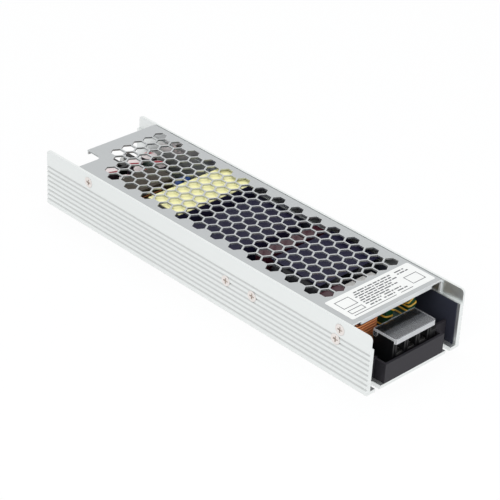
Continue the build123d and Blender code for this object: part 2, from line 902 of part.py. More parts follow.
def x_capacitor():
    x = (mains_end - x_cap_place[0], mains_end - x_cap_place[1])
    return block(x, (x_cap_side_gap - film_wall, -mid_gap), (board_top, inside_top - x_cap_headroom))


def inrush_relay():
    x = (mains_end - relay_place[0], mains_end - relay_place[1])
    return block(x, (mid_gap, film_wall - far_side_gap), (board_top, inside_top - relay_headroom))


# Glass tube between two end caps, lying on the board
def fuse():
    x = mains_end - fuse_place
    z = board_top + fuse_cap_radius
    y = (mid_gap - fuse_overhang, film_wall - far_side_gap + fuse_overhang)
    caps = rod_y(x, (y[0], y[0] + fuse_cap_length), z, fuse_cap_radius)
    caps += rod_y(x, (y[1] - fuse_cap_length, y[1]), z, fuse_cap_radius)
    return rod_y(x, (y[0] + fuse_overhang, y[1] - fuse_overhang), z, fuse_radius) + caps


def thermistor():
    return disc_part(mains_end - thermistor_place, thermistor_near - film_wall, thermistor_z,
                     thermistor_radius, thermistor_thick, "X")


def ring_base():
    return block(about(ring_x, ring_base_half[0]), about(ring_y, ring_base_half[1]),
                 (board_top, board_top + ring_base_height))


def ring_core():
    ring = rod_x(about(ring_x, ring_half), ring_y, ring_z, ring_outer)
    return ring - rod_x(about(ring_x, ring_half + 1), ring_y, ring_z, ring_inner)


# Square loops of wire about the ring's section, spread over its two sides
def ring_coil():
    loop = block(about(0, ring_half + ring_wire), about(0, ring_wire / 2),
                 (ring_inner - ring_wire, ring_outer + ring_wire))
    loop -= block(about(0, ring_half), (-1, 1), (ring_inner - ring_bite, ring_outer))
    angles = [ring_first_angle + k * ring_step_angle for k in range(ring_turns)]
    angles += [-angle for angle in angles]
    return [Pos(ring_x, ring_y, ring_z) * Rot(angle, 0, 0) * loop for angle in angles]


# An upright prism with rounded corners on the line choke's axis
def line_prism(z, inset):
    shape = RectangleRounded(2 * (line_half[0] - inset), 2 * (line_half[1] - inset), line_corner - inset)
    return extrude(Pos(line_centre[0], line_centre[1], z[0]) * shape, z[1] - z[0])


def line_leg(z):
    return block(about(line_centre[0], line_leg_half[0]), about(line_centre[1], line_leg_half[1]), z)


def line_choke_core():
    core = line_leg((board_top, line_top)) + line_prism((board_top, board_top + line_flange), 0)
    return core + line_prism((line_top - line_flange, line_top), 0)


def line_choke_coil():
    z = (board_top + line_flange, line_top - line_flange)
    return line_prism(z, 0) - line_leg((z[0] - 1, z[1] + 1))


def bridge_rectifier():
    body = block(bridge_x, (-film_wall, bridge_thick - film_wall), bridge_z)
    body -= rod_y(bridge_hole[0], about(-film_wall, bridge_thick + 1), bridge_hole[1],
                  screw_radius + screw_clearance)
    lead_y = (bridge_lead_depth[0] - film_wall, bridge_lead_depth[1] - film_wall)
    for k in range(4):
        x = bridge_x[0] + bridge_lead_inset + k * bridge_lead_pitch
        body += block(about(x, bridge_lead_width / 2), lead_y, (board_top, bridge_z[0]))
    return body


# A moulded package with a thinner tab, three leads down to the board
def power_transistor(side, x, z):
    step = package_top - tab_length
    bottom = board_top + lead_length
    across = about(x, package_half)
    part = block(across, on_side(side, film_wall, film_wall - tab_thick), (step, package_top))
    part += block(across, on_side(side, film_wall, film_wall - package_thick), (bottom, step))
    lead_y = about(side * (film_wall - lead_setback), lead_thick / 2)
    for k in (-1, 0, 1):
        part += block(about(x + k * lead_pitch, lead_width / 2), lead_y, (board_top, bottom))
    return part - rod_y(x, on_side(side, 0, inner_wall), z, screw_radius + screw_clearance)


def enclosure_parts():
    save(channel_case(), "channel_case")
    save(top_cover(), "top_cover")
    save(rating_label(), "rating_label")
    cover_screw = countersunk(cover_screw_length)
    clamp_screw = countersunk(clamp_screw_length)
    group([in_wall(cover_screw, *place) for place in cover_screw_places()], "cover_screws")
    group([in_wall(clamp_screw, *place) for place in clamp_places()], "clamp_screws")
    group(clamp_nuts(), "clamp_nuts")
    save(insulating_liner(), "insulating_liner")
    group(upper_sheets(), "upper_insulating_sheets")
    save(terminal_tray(), "terminal_tray")


def board_parts():
    save(main_board(), "main_board")
    group([spacer(x, y) for x, y in spacer_places()], "board_spacers")
    group([board_screw(x, y) for x, y in spacer_places()], "board_screws")
    save(bridge_rectifier(), "bridge_rectifier")
    group([power_transistor(*place) for place in transistor_places()], "power_transistors")


def terminal_parts():
    save(ac_terminal_body(), "ac_terminal_body")
    group([ac_clamp_plate(y) for y in poles], "ac_clamp_plates")
    group([ac_screw(y) for y in poles], "ac_terminal_screws")
    save(ac_terminal_cover(), "ac_terminal_cover")
    save(dc_terminal_body(), "dc_terminal_body")
    group([dc_clamp_plate(y) for y in out_cells], "dc_clamp_plates")
    group([dc_screw(y) for y in out_cells], "dc_terminal_screws")
    save(trimmer_body(), "trimmer_body")
    save(trimmer_rotor(), "trimmer_rotor")
    save(indicator_lamp(), "indicator_lamp")


def output_side_parts():
    group(output_cans(), "output_capacitors")
    core, coil = output_choke()
    save(core, "output_choke_core")
    save(coil, "output_choke_coil")
    save(control_board(), "control_board")
    group(control_chips(), "control_chips")
    save(daughter_board(), "daughter_board")
    group(disc_capacitors(), "disc_capacitors")


def power_side_parts():
    save(transformer_core(), "transformer_core")
    save(transformer_coil(), "transformer_coil")
    save(transformer_tape(), "transformer_tape")
    save(boost_choke_core(), "boost_choke_core")
    save(boost_choke_coil(), "boost_choke_coil")
    group(film_capacitors(), "film_capacitors")
    group(bulk_capacitors(), "bulk_capacitors")


def input_side_parts():
    save(x_capacitor(), "x_capacitor")
    save(inrush_relay(), "inrush_relay")
    save(fuse(), "fuse")
    save(thermistor(), "thermistor")
    save(ring_base(), "toroid_base")
    save(ring_core(), "toroid_core")
    group(ring_coil(), "toroid_winding")
    save(line_choke_core(), "line_choke_core")
    save(line_choke_coil(), "line_choke_winding")


if __name__ == "__main__":
    os.makedirs("parts", exist_ok=True)
    enclosure_parts()
    board_parts()
    terminal_parts()
    output_side_parts()
    power_side_parts()
    input_side_parts()
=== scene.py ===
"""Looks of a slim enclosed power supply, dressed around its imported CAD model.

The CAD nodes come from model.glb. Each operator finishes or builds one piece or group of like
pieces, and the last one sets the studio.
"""

import math

import bpy
import numpy as np
from mathutils import Matrix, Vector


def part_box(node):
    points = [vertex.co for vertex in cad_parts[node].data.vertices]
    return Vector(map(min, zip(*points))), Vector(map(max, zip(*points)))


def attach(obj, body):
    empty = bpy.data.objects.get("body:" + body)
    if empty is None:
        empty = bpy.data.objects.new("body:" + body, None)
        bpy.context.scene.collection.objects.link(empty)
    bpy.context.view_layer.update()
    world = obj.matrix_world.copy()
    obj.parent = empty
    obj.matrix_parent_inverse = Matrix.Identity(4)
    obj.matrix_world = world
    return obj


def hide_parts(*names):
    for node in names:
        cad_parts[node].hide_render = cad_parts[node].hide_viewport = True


bl_info = {
    "name": "Slim power supply",
    "version": (1, 0, 0),
    "blender": (4, 5, 0),
    "location": "3D View > Sidebar > Power Supply",
    "description": "Finishes, windings, label fields and studio of a slim enclosed power supply",
    "category": "Object",
}

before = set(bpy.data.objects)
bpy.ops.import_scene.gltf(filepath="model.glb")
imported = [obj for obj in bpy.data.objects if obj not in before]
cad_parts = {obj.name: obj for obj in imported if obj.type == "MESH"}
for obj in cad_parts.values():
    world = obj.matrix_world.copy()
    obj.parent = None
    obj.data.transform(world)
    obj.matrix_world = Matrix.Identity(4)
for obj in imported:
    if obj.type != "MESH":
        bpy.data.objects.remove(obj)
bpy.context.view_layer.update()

# Lengths are in millimetres and angles in radians, apart from those of the studio, in metres.
MM = 0.001

# Camera: the photograph's width and the focal length in its pixels, and the sensor's width
PHOTO_WIDTH = 500.0
FOCAL_PIXELS = 1880.95
SENSOR = 36.0

# Case and clear cover: where the cover's end flanges start, from the middle of the case, and the
# underside of the clear cover's plate, above its ears
FLANGE_START = 96.4
EAR_TOP = 20.7
# rounding that a material finds at punched rims and moulded edges to place painted highlights
# there; the clear cover also draws it
EDGE_ROUNDING = 0.35
# height of printed ink above its surface
INK_LIFT = 0.002

# Label: lines and rows of dashes, each as its distance from the label's end and its two ends,
# counted from the near side, and empty boxes, each as its two distances and its two ends
LABEL_LINES = ((1.5, 3, 30), (1.5, 33, 41))
LABEL_ROWS = (
    (3.2, 15, 22), (3.2, 24, 31), (3.2, 33, 40), (5.0, 14, 24), (5.0, 26, 37), (6.6, 14, 31),
    (8.2, 14, 38), (9.8, 15, 36), (11.4, 14, 41), (13.0, 15, 39), (14.6, 16, 40), (14.6, 43, 50),
    (12.8, 43, 50),
)
LABEL_BOXES = ((3.2, 6.2, 3, 12), (8.0, 14.4, 3, 12), (3.2, 9.6, 43, 51.5))
# lengths of the dashes, used in turn, and the gap between two of them
DASHES = (2.6, 1.5, 3.6, 2.1, 4.2, 1.2, 3.0)
DASH_GAP = 0.55

# Output capacitors: each one's place from the corner of their group, and the turn of its mark
CAN_PLACES = ((4.5, 19.8), (14.0, 27.3), (12.5, 17.2), (4.0, 4.0), (15.3, 5.1), (4.0, 29.8))
CAN_TURNS = (-0.6, 2.6, 0.4, -0.3, 1.2, 2.9)
# bare rim of a lid round its mark, and the number of points in the mark's arc
CAN_RIM = 0.4
MARK_POINTS = 28

# Line choke: how deep each layer of wire lies, in radii of the wire, and the points in one turn
WIRE_LAYERS = (0.0, 3.4)
CHOKE_POINTS = 64
# angle of the first point, a little off the axis, where a corner would have no side
CHOKE_START = 0.01

# Toroid: radii of the hole and the rim of its core
TOROID_HOLE = 5.7
TOROID_RIM = 10.3
# power of the superellipse that a turn follows, from nought for a rectangle to one for an ellipse,
# and the number of points in it
LOOP_POWER = 0.42
LOOP_POINTS = 44

# Lamps: name, place, what it faces, width, and power in watts
LAMPS = (
    ("key_softbox", (0.35, -0.75, 0.7), (0, 0, 0.02), 0.6, 4.5),
    ("top_softbox", (-0.3, 0.3, 0.9), (0, 0, 0.02), 0.7, 3.0),
    ("end_softbox", (1.0, -0.15, 0.45), (0.1, 0, 0.02), 0.6, 2.6),
)
# Floor: half of its width, its depth under the case, so that the two surfaces don't share a plane,
# and the share of plain white in what the camera sees of it, where the rest keeps the shadow
FLOOR_REACH = 4
FLOOR_DEPTH = 0.02 * MM
FLOOR_WHITE = 0.92


def linear(code):
    """An sRGB hex colour as linear red, green, blue and alpha: the standard sRGB curve, undone."""
    values = [int(code[i:i + 2], 16) / 255 for i in (1, 3, 5)]
    return tuple(v / 12.92 if v <= 0.04045 else ((v + 0.055) / 1.055) ** 2.4
                 for v in values) + (1.0,)


def darker(rgba, factor):
    """A linear colour with its red, green and blue times a factor."""
    return tuple(c * factor for c in rgba[:3]) + (1.0,)


def colour(name, code, what):
    """A setting that is a colour, given as sRGB hex."""
    return bpy.props.FloatVectorProperty(
        name=name, description=what, subtype="COLOR", size=4, min=0, max=1, default=linear(code))


def length(name, value, what):
    """A setting that is a length, given in millimetres."""
    return bpy.props.FloatProperty(
        name=name, description=what, unit="LENGTH", default=value * MM, precision=5)


def angle(name, degrees, what):
    """A setting that is an angle, given in degrees."""
    return bpy.props.FloatProperty(
        name=name, description=what, subtype="ANGLE", default=math.radians(degrees))


class PSU_case_settings(bpy.types.PropertyGroup):
    """Finishes of the case, its label and the capacitors' marks"""

    wall: colour("Channel", "#EDF0EF", "Clear-anodised aluminium of the channel case")
    cover: colour("Cover", "#C3C6C7", "Mill-finish sheet of the perforated cover")
    screw: colour("Screws", "#F1EBE7", "Nickel plating of the countersunk screws")
    label: colour("Label", "#F1F1EE", "White film of the rating label")
    print_grey: colour("Label fields", "#55575B", "Grey ink of the label's empty fields and lines")
    ink_line: length("Label line", 0.4, "Width of the label's thin lines")
    dash_line: length("Label dashes", 0.75, "Width of the label's broken lines")
    mark: colour("Can marks", "#C4283C", "Red ink of the polarity marks on the cans")
    can_radius: length("Can radius", 4.0, "Radius of the output capacitors")
    mark_half: angle("Mark half angle", 68, "Half of the arc that a polarity mark covers")


class PSU_plastic_settings(bpy.types.PropertyGroup):
    """Colours of the mouldings, films and tape"""

    tray: colour("Tray", "#302E33", "Black glass-filled moulding of the tray")
    block: colour("Terminal block", "#121214", "Black moulding of the terminal blocks")
    # one black film in two tones: the sheets over the parts darker, as painted shade under the
    # cover, and the liner lighter, as painted light along the walls
    film: colour("Insulating film", "#24223A", "Black insulating film over the parts")
    liner: colour("Liner", "#31333E", "Black insulating film along the walls")
    clear: colour("Clear cover", "#9B9DA2", "Smoky clear cover of the mains terminals")
    frost_start: length("Frosting", 101.0,
                        "Where the frosting of the clear cover starts along the case")
    tape: colour("Tape", "#FFFABC", "Yellow polyester tape of the transformer")


class PSU_winding_settings(bpy.types.PropertyGroup):
    """Wires of the line choke and the toroid"""

    copper: colour("Copper", "#FFA468", "Enamelled copper of the line choke")
    yellow: colour("Yellow wire", "#FFCA54", "Triple-insulated yellow wire of the toroid")
    green: colour("Toroid", "#104A30", "Green coating of the toroid core")
    wire: length("Choke wire radius", 0.52, "Radius of the line choke's wire")
    toroid_wire: length("Toroid wire radius", 0.45, "Radius of the toroid's wire")
    pitch: length("Choke wire pitch", 1.5, "Distance between neighbouring turns of the line choke")
    corner: length("Choke corner", 3.5, "Corner radius of the line choke's winding")
    turns: bpy.props.IntProperty(
        name="Toroid turns", description="Turns in each half of the toroid", default=5, min=1)
    first_turn: angle("First turn", 30, "Angle of the first turn from the top")
    turn_step: angle("Turn step", 25, "Angle between neighbouring turns")


class PSU_view_settings(bpy.types.PropertyGroup):
    """The photograph's camera"""

    azimuth: angle("Azimuth", 44.371, "Turn of the camera round the case")
    elevation: angle("Elevation", 30.679, "Height of the camera above the horizon")
    roll: angle("Roll", 3.316, "Turn of the picture in its own plane")
    place: bpy.props.FloatVectorProperty(
        name="Camera place", description="Where the camera stands", subtype="TRANSLATION", size=3,
        default=(0.54110, -0.54861, 0.46957))
    focal: bpy.props.FloatProperty(
        name="Focal length", description="Focal length on a 36 mm sensor", unit="CAMERA",
        default=FOCAL_PIXELS / PHOTO_WIDTH * SENSOR)


# Meshes worked out as whole arrays


def grid_faces(rows, columns, closed):
    """Quads of a grid of points whose rows are rings: point (i, j) joins (i, j+1), (i+1, j+1) and
    (i+1, j), the last point of a row joins its first, and in a closed grid the last row joins the
    first."""
    i = np.arange(rows if closed else rows - 1)
    i, j = [a.ravel() for a in np.meshgrid(i, np.arange(columns), indexing="ij")]
    k, m = (i + 1) % rows, (j + 1) % columns
    return np.stack([i * columns + j, i * columns + m, k * columns + m, k * columns + j], 1)


def tube(path, side, radius, sides=10, closed=False):
    """A round wire along a path: at each point, centre + r (cos t side + sin t across), where
    across is the path's direction crossed with side. Open ends are closed by a last ring at the
    centre."""
    path = np.asarray(path, float)
    if closed:
        direction = np.roll(path, -1, 0) - np.roll(path, 1, 0)
    else:
        direction = np.gradient(path, axis=0)
    direction /= np.linalg.norm(direction, axis=1, keepdims=True)
    side = np.broadcast_to(side, path.shape)
    side = side - direction * np.sum(side * direction, 1, keepdims=True)
    side = side / np.linalg.norm(side, axis=1, keepdims=True)
    across = np.cross(direction, side)
    t = np.linspace(0, 2 * math.pi, sides, endpoint=False)
    ring = (np.cos(t)[None, :, None] * side[:, None]
            + np.sin(t)[None, :, None] * across[:, None])
    points = path[:, None] + radius * ring
    if not closed:
        first = np.repeat(path[:1, None], sides, 1)
        last = np.repeat(path[-1:, None], sides, 1)
        points = np.concatenate([first, points, last])
    return points.reshape(-1, 3), grid_faces(len(points), sides, closed)[:, ::-1]


def bar(low, high, near, far, start, end):
    """A flat bar printed on the label whose corners are low and high: from near to far along the
    case, counted from the label's end, and from start to end across it, counted from its near
    side."""
    x0, x1, y0, y1 = high[0] - far, high[0] - near, low[1] + start, low[1] + end
    z = high[2] + INK_LIFT
    return np.array([(x0, y0, z), (x1, y0, z), (x1, y1, z), (x0, y1, z)]), np.array([[0, 1, 2, 3]])


def disc_part(centre, radius, start, end):
    """The part of a flat disc beyond a chord: its rim is (r cos t, r sin t) for t from start to
    end, and the chord joins the ends."""
    t = np.linspace(start, end, MARK_POINTS)
    x, y = centre[0] + radius * np.cos(t), centre[1] + radius * np.sin(t)
    return np.stack([x, y, np.full_like(t, centre[2])], 1), np.arange(len(t))[None]


def make_piece(name, shapes, material, body, smooth=True):
    """One object from several shapes, given in millimetres, its faces pointing outwards."""
    points, faces, start = [], [], 0
    for p, f in shapes:
        points.append(p)
        faces.append(f + start)
        start += len(p)
    points = np.concatenate(points) * MM
    mesh = bpy.data.meshes.new(name)
    mesh.from_pydata(points.tolist(), [], [q for f in faces for q in f.tolist()])
    mesh.validate()
    mesh.polygons.foreach_set("use_smooth", np.full(len(mesh.polygons), smooth))
    mesh.materials.append(material)
    piece = bpy.data.objects.new(name, mesh)
    bpy.context.scene.collection.objects.link(piece)
    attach(piece, body)
    return piece


def aim(back):
    """The turn whose third column is the unit vector back, with the first column level."""
    back = np.array(back, float) / np.linalg.norm(back)
    right = np.cross((0.0, 0.0, 1.0), back)
    right /= np.linalg.norm(right)
    up = np.cross(back, right)
    return Matrix(np.stack([right, up, back], 1).tolist())


# Materials


def add(tree, kind, inputs=(), **settings):
    """Adds one node. Inputs maps a socket's name or number to a value or another node's output."""
    node = tree.nodes.new(kind)
    for key, value in settings.items():
        setattr(node, key, value)
    for key, value in dict(inputs).items():
        if isinstance(value, bpy.types.NodeSocket):
            tree.links.new(value, node.inputs[key])
        else:
            node.inputs[key].default_value = value
    return node


def new_material(name, inputs):
    """A material with its Principled shader, whose sockets take the given inputs."""
    material = bpy.data.materials.new(name)
    material.use_nodes = True
    tree = material.node_tree
    tree.nodes.clear()
    shader = add(tree, "ShaderNodeBsdfPrincipled", inputs)
    add(tree, "ShaderNodeOutputMaterial", {"Surface": shader.outputs["BSDF"]})
    return material, tree, shader


def node_of(tree, kind):
    """The one node of its kind."""
    return next(n for n in tree.nodes if n.type == kind)


def feed(socket):
    """The output that a socket is linked to."""
    return socket.links[0].from_socket


def grain(tree, shader, period, height, shade=None, detail=2.0):
    """A relief of noise with a period in millimetres along each axis, and its height in
    millimetres. Shade is a pair of colours between which the same noise paints."""
    place = add(tree, "ShaderNodeTexCoord")
    scale = tuple(1 / (p * MM) for p in period)
    mapped = add(tree, "ShaderNodeMapping", {"Vector": place.outputs["Object"], "Scale": scale})
    noise = add(tree, "ShaderNodeTexNoise",
                {"Vector": mapped.outputs["Vector"], "Scale": 1.0, "Detail": detail})
    bump = add(tree, "ShaderNodeBump",
               {"Height": noise.outputs["Fac"], "Distance": height * MM, "Strength": 1.0})
    tree.links.new(bump.outputs["Normal"], shader.inputs["Normal"])
    if shade:
        mix = add(tree, "ShaderNodeMix",
                  {0: noise.outputs["Fac"], 6: shade[0], 7: shade[1]}, data_type="RGBA")
        tree.links.new(mix.outputs[2], shader.inputs["Base Color"])


def anodised_extrusion(rgba):
    """Clear-anodised extruded aluminium: a soft even sheen, with faint lines drawn along the case
    by the die."""
    material, tree, shader = new_material(
        "anodised_extrusion", {"Metallic": 0.88, "Roughness": 0.42})
    # die lines 0.35 mm apart, 90 mm long
    grain(tree, shader, (90.0, 0.35, 0.35), 0.006, (darker(rgba, 0.97), rgba))
    # the grooves' sloping faces, which turn by half a right angle between Y and Z, are in shade
    facing = add(tree, "ShaderNodeNewGeometry")
    size = add(tree, "ShaderNodeVectorMath", {0: facing.outputs["True Normal"]},
               operation="ABSOLUTE")
    axes = add(tree, "ShaderNodeSeparateXYZ", {0: size.outputs[0]})
    slope = add(tree, "ShaderNodeMath", {0: axes.outputs["Y"], 1: axes.outputs["Z"]},
                operation="MINIMUM")
    groove = add(tree, "ShaderNodeMapRange",
                 {"Value": slope.outputs[0], "From Min": 0.5, "From Max": 0.65})
    mix = add(tree, "ShaderNodeMix",
              {0: groove.outputs[0], 6: feed(shader.inputs["Base Color"]), 7: darker(rgba, 0.78)},
              data_type="RGBA")
    tree.links.new(mix.outputs[2], shader.inputs["Base Color"])
    return material


def mill_finish_sheet(rgba):
    """Mill-finish aluminium sheet, stamped and folded: a little darker and duller than the
    channel, with the rolling grain along its length."""
    material, tree, shader = new_material("mill_finish_sheet", {"Roughness": 0.42})
    # rolling grain 0.6 mm wide, 14 mm long
    grain(tree, shader, (14.0, 0.6, 0.6), 0.004, (darker(rgba, 0.95), rgba))
    # painted highlight on the upright faces of the end flanges: a lighter colour, less metallic
    facing = add(tree, "ShaderNodeNewGeometry")
    axes = add(tree, "ShaderNodeSeparateXYZ", {0: facing.outputs["True Normal"]})
    flat = add(tree, "ShaderNodeMath", {0: axes.outputs["Z"]}, operation="ABSOLUTE")
    upright = add(tree, "ShaderNodeMapRange",
                  {"Value": flat.outputs[0], "From Min": 0.6, "From Max": 0.2})
    place = add(tree, "ShaderNodeTexCoord")
    along = add(tree, "ShaderNodeSeparateXYZ", {0: place.outputs["Object"]})
    out = add(tree, "ShaderNodeMath", {0: along.outputs["X"]}, operation="ABSOLUTE")
    end = add(tree, "ShaderNodeMath", {0: out.outputs[0], 1: FLANGE_START * MM},
              operation="GREATER_THAN")
    flange_highlight = add(tree, "ShaderNodeMath", {0: upright.outputs[0], 1: end.outputs[0]},
                 operation="MULTIPLY")
    metal = add(tree, "ShaderNodeMapRange",
                {"Value": flange_highlight.outputs[0], "To Min": 0.9, "To Max": 0.3})
    tree.links.new(metal.outputs[0], shader.inputs["Metallic"])
    # the punch rounds the rim of each hole; its upward rounded faces get a painted highlight
    rounded = add(tree, "ShaderNodeBevel", {"Radius": EDGE_ROUNDING * MM}, samples=4)
    agree = add(tree, "ShaderNodeVectorMath",
                {0: rounded.outputs[0], 1: facing.outputs["True Normal"]}, operation="DOT_PRODUCT")
    rim = add(tree, "ShaderNodeMapRange",
              {"Value": agree.outputs["Value"], "From Min": 0.995, "From Max": 0.85})
    upward = add(tree, "ShaderNodeMath", {0: axes.outputs["Z"], 1: 0.5}, operation="GREATER_THAN")
    rim = add(tree, "ShaderNodeMath", {0: rim.outputs[0], 1: upward.outputs[0]},
              operation="MULTIPLY")
    # both painted highlights, of the flanges and of the hole rims, lighten the colour
    bright = add(tree, "ShaderNodeMath", {0: flange_highlight.outputs[0], 1: rim.outputs[0]},
                 operation="MAXIMUM")
    mix = add(tree, "ShaderNodeMix",
              {0: bright.outputs[0], 6: feed(shader.inputs["Base Color"]), 7: linear("#EAECEC")},
              data_type="RGBA")
    tree.links.new(mix.outputs[2], shader.inputs["Base Color"])
    return material


def nickel_plate(name, rgba, roughness=0.3):
    """Nickel or tin plating on steel: a warm pale metal with a soft gleam and the mottling of
    barrel plating."""
    material, tree, shader = new_material(name, {"Metallic": 1.0, "Roughness": roughness})
    # mottling 0.7 mm across
    grain(tree, shader, (0.7,) * 3, 0.003, (darker(rgba, 0.9), rgba))
    return material


def electrolytic_can(top, sleeve):
    """Aluminium electrolytic can: a shrunk dark sleeve round the side and the bare drawn metal on
    top."""
    material, tree, shader = new_material("electrolytic_can", {"Roughness": 0.35})
    # drawing marks 0.5 mm apart
    grain(tree, shader, (0.5,) * 3, 0.003, (darker(top, 0.93), top))
    facing = add(tree, "ShaderNodeNewGeometry")
    axes = add(tree, "ShaderNodeSeparateXYZ", {0: facing.outputs["True Normal"]})
    lid = add(tree, "ShaderNodeMath", {0: axes.outputs["Z"], 1: 0.5}, operation="GREATER_THAN")
    mix = add(tree, "ShaderNodeMix",
              {0: lid.outputs[0], 6: sleeve, 7: feed(shader.inputs["Base Color"])},
              data_type="RGBA")
    tree.links.new(mix.outputs[2], shader.inputs["Base Color"])
    tree.links.new(lid.outputs[0], shader.inputs["Metallic"])
    return material


def moulded_plastic(name, rgba, roughness, texture=0.01, period=0.5, gleam=0.5, fleck=1.0):
    """Injection-moulded thermoplastic, and the tapes, dipped coats and fired bodies that look much
    like it: an even colour with a fine relief. Gleam is how much of the room its skin mirrors. A
    fleck below one darkens the specks between the glass fibres at its surface."""
    material, tree, shader = new_material(
        name,
        {"Base Color": rgba, "Roughness": roughness, "IOR": 1.53, "Specular IOR Level": gleam})
    # a mould's spark texture is finer than 0.5 mm, and is drawn that coarse so that it shows
    grain(tree, shader, (period,) * 3, texture, (darker(rgba, fleck), rgba) if fleck < 1 else None)
    return material


def clear_polycarbonate(rgba, frost_start):
    """Clear polycarbonate: see-through at the hinge, smoky and frosted over the terminals, with a
    painted highlight along its edges for the light that travels inside the plate and comes out
    there."""
    material, tree, shader = new_material("clear_polycarbonate", {"Base Color": rgba, "IOR": 1.58})
    place = add(tree, "ShaderNodeTexCoord")
    axes = add(tree, "ShaderNodeSeparateXYZ", {0: place.outputs["Object"]})
    # the frosting comes in over 0.6 mm
    frost = add(tree, "ShaderNodeMapRange",
                {"Value": axes.outputs["X"], "From Min": frost_start,
                 "From Max": frost_start + 0.6 * MM})
    clear = add(tree, "ShaderNodeMapRange",
                {"Value": frost.outputs[0], "To Min": 0.97, "To Max": 0.8})
    rough = add(tree, "ShaderNodeMapRange",
                {"Value": frost.outputs[0], "To Min": 0.04, "To Max": 0.14})
    # the painted highlight goes where the plate's own face and its rounding disagree, at the
    # rounded edges
    rounded = add(tree, "ShaderNodeBevel", {"Radius": EDGE_ROUNDING * MM}, samples=6)
    flat = add(tree, "ShaderNodeNewGeometry")
    agree = add(tree, "ShaderNodeVectorMath",
                {0: rounded.outputs[0], 1: flat.outputs["True Normal"]}, operation="DOT_PRODUCT")
    edge_highlight = add(tree, "ShaderNodeMapRange",
               {"Value": agree.outputs["Value"], "From Min": 0.99, "From Max": 0.8})
    # the narrow faces round the plate carry most of that painted highlight
    facing = add(tree, "ShaderNodeVectorMath", {0: place.outputs["Normal"]}, operation="ABSOLUTE")
    sides = add(tree, "ShaderNodeSeparateXYZ", {0: facing.outputs[0]})
    widest = add(tree, "ShaderNodeMath", {0: sides.outputs["X"], 1: sides.outputs["Y"]},
                 operation="MAXIMUM")
    narrow = add(tree, "ShaderNodeMapRange",
                 {"Value": widest.outputs[0], "From Min": 0.6, "From Max": 0.9, "To Max": 0.5})
    above = add(tree, "ShaderNodeMath", {0: axes.outputs["Z"], 1: EAR_TOP * MM},
                operation="GREATER_THAN")
    front = add(tree, "ShaderNodeMath", {0: axes.outputs["X"], 1: frost_start},
                operation="GREATER_THAN")
    above = add(tree, "ShaderNodeMath", {0: above.outputs[0], 1: front.outputs[0]},
                operation="MAXIMUM")
    narrow = add(tree, "ShaderNodeMath", {0: narrow.outputs[0], 1: above.outputs[0]},
                 operation="MULTIPLY")
    edge_highlight = add(tree, "ShaderNodeMath", {0: edge_highlight.outputs[0], 1: narrow.outputs[0]},
               operation="MAXIMUM")
    tree.links.new(rough.outputs[0], shader.inputs["Roughness"])
    tree.links.new(clear.outputs[0], shader.inputs["Transmission Weight"])
    tree.links.new(rounded.outputs[0], shader.inputs["Normal"])
    # painted highlight: a white matt surface mixed in by the edge mask
    bright = add(tree, "ShaderNodeBsdfDiffuse", {"Color": linear("#F2F3F4")})
    mix = add(tree, "ShaderNodeMixShader",
              {0: edge_highlight.outputs[0], 1: shader.outputs["BSDF"], 2: bright.outputs[0]})
    tree.links.new(mix.outputs[0], node_of(tree, "OUTPUT_MATERIAL").inputs["Surface"])
    return material


def insulating_film(rgba):
    """Black polypropylene film: a dull satin with slight waves from handling."""
    material, tree, shader = new_material(
        "insulating_film", {"Base Color": rgba, "Roughness": 0.5, "Specular IOR Level": 0.2})
    # waves 12 mm across
    grain(tree, shader, (12.0,) * 3, 0.15, detail=1.0)
    return material


def printed_film(name, rgba):
    """Matt polyester film or the ink on it: an even colour with a very slight orange-peel
    surface."""
    material, tree, shader = new_material(name, {"Roughness": 0.5})
    # orange peel 1.2 mm across
    grain(tree, shader, (1.2,) * 3, 0.004, (darker(rgba, 0.96), rgba))
    return material


def circuit_laminate(rgba):
    """Glass-epoxy laminate with green solder mask: satin green with a faint weave."""
    material, tree, shader = new_material("circuit_laminate", {"Roughness": 0.35})
    # weave bundles 0.8 mm apart
    grain(tree, shader, (0.8,) * 3, 0.004, (darker(rgba, 0.8), rgba))
    return material


def enamelled_wire(name, rgba, roughness=0.25):
    """Wire with a clear or coloured coat: its own colour under a thin gloss, a little uneven along
    its length."""
    material, tree, shader = new_material(
        name, {"Roughness": roughness, "Coat Weight": 0.6, "Coat Roughness": 0.1})
    # unevenness 3 mm long
    grain(tree, shader, (3.0,) * 3, 0.01, (darker(rgba, 0.82), rgba))
    return material


def enamelled_copper(rgba):
    """Enamelled copper: warm bright metal under a clear coat."""
    material = enamelled_wire("enamelled_copper", rgba, 0.3)
    shader = node_of(material.node_tree, "BSDF_PRINCIPLED")
    shader.inputs["Metallic"].default_value = 0.65
    return material


def wound_copper(rgba, pitch):
    """Layers of enamelled copper wound round an upright leg: level strands one above the other,
    each round and at full colour along its middle, with painted shade darkening it towards the
    gaps between them."""
    material = enamelled_copper(rgba)
    tree = material.node_tree
    shader = node_of(tree, "BSDF_PRINCIPLED")
    place = add(tree, "ShaderNodeTexCoord")
    axes = add(tree, "ShaderNodeSeparateXYZ", {0: place.outputs["Object"]})
    # a sine whose period is the wire's pitch
    turn = add(tree, "ShaderNodeMath", {0: axes.outputs["Z"], 1: 2 * math.pi / pitch},
               operation="MULTIPLY")
    wave = add(tree, "ShaderNodeMath", {0: turn.outputs[0]}, operation="SINE")
    height = add(tree, "ShaderNodeMapRange",
                 {"Value": wave.outputs[0], "From Min": -1.0, "From Max": 1.0})
    bump = add(tree, "ShaderNodeBump",
               {"Height": height.outputs[0], "Distance": pitch / 3,
                "Normal": feed(shader.inputs["Normal"])})
    tree.links.new(bump.outputs["Normal"], shader.inputs["Normal"])
    # painted shade: the colour falls to 15 % of the copper's in the gaps between strands
    mix = add(tree, "ShaderNodeMix",
              {0: height.outputs[0], 6: darker(rgba, 0.15), 7: feed(shader.inputs["Base Color"])},
              data_type="RGBA")
    tree.links.new(mix.outputs[2], shader.inputs["Base Color"])
    return material


